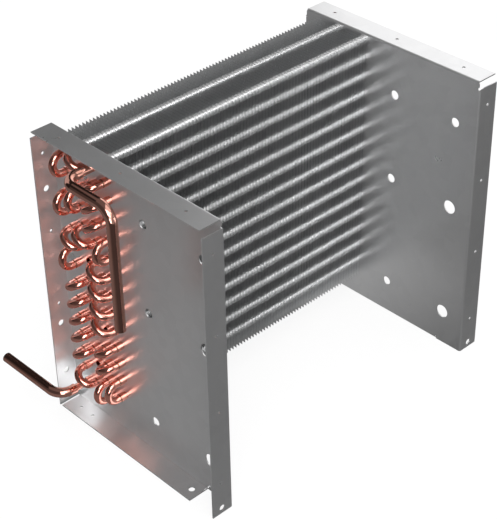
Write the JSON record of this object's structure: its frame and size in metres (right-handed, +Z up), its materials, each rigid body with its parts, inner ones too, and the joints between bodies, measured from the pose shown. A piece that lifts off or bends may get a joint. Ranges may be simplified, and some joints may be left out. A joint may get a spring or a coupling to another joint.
{
  "type": "finned heat exchanger coil",
  "caption": "Copper tubes with hairpin and return bends run through closely spaced aluminium fins between two flanged end plates, with two open connecting pipes.",
  "frame": {"origin": "middle of the whole coil's box, on the surface it stands on", "axes": "+X along the tubes from the return-bend plate to the hairpin plate, -Y the front, where the plates reach forward of the fins, +Z up"},
  "size_m": [0.5048, 0.3606, 0.396],
  "materials": {
    "galvanised_plate": "bright galvanised",
    "fin": "bright rolled",
    "copper_tube": "polished copper",
    "copper_bend": "polished copper",
    "copper_pipe": "polished copper"
  },
  "bodies": {
    "root": {"near_end_plate": "galvanised_plate", "far_end_plate": "galvanised_plate", "fins": "fin", "fin_collars": "fin", "spare_tubes": "copper_tube", "hairpin_01": "copper_tube", "hairpin_02": "copper_tube", "hairpin_03": "copper_tube", "hairpin_04": "copper_tube", "hairpin_05": "copper_tube", "hairpin_06": "copper_tube", "hairpin_07": "copper_tube", "hairpin_08": "copper_tube", "hairpin_09": "copper_tube", "hairpin_10": "copper_tube", "hairpin_11": "copper_tube", "hairpin_12": "copper_tube", "hairpin_13": "copper_tube", "hairpin_14": "copper_tube", "hairpin_15": "copper_tube", "hairpin_16": "copper_tube", "hairpin_17": "copper_tube", "hairpin_18": "copper_tube", "hairpin_19": "copper_tube", "hairpin_20": "copper_tube", "hairpin_21": "copper_tube", "hairpin_22": "copper_tube", "hairpin_23": "copper_tube", "hairpin_24": "copper_tube", "hairpin_25": "copper_tube", "hairpin_26": "copper_tube", "return_bend_01": "copper_bend", "return_bend_02": "copper_bend", "return_bend_03": "copper_bend", "return_bend_04": "copper_bend", "return_bend_05": "copper_bend", "return_bend_06": "copper_bend", "return_bend_07": "copper_bend", "return_bend_08": "copper_bend", "return_bend_09": "copper_bend", "return_bend_10": "copper_bend", "return_bend_11": "copper_bend", "return_bend_12": "copper_bend", "return_bend_13": "copper_bend", "return_bend_14": "copper_bend", "return_bend_15": "copper_bend", "return_bend_16": "copper_bend", "return_bend_17": "copper_bend", "return_bend_18": "copper_bend", "return_bend_19": "copper_bend", "return_bend_20": "copper_bend", "return_bend_21": "copper_bend", "return_bend_22": "copper_bend", "return_bend_23": "copper_bend", "return_bend_24": "copper_bend", "return_bend_25": "copper_bend", "upper_pipe": "copper_pipe", "lower_pipe": "copper_pipe"}
  },
  "joints": []
}
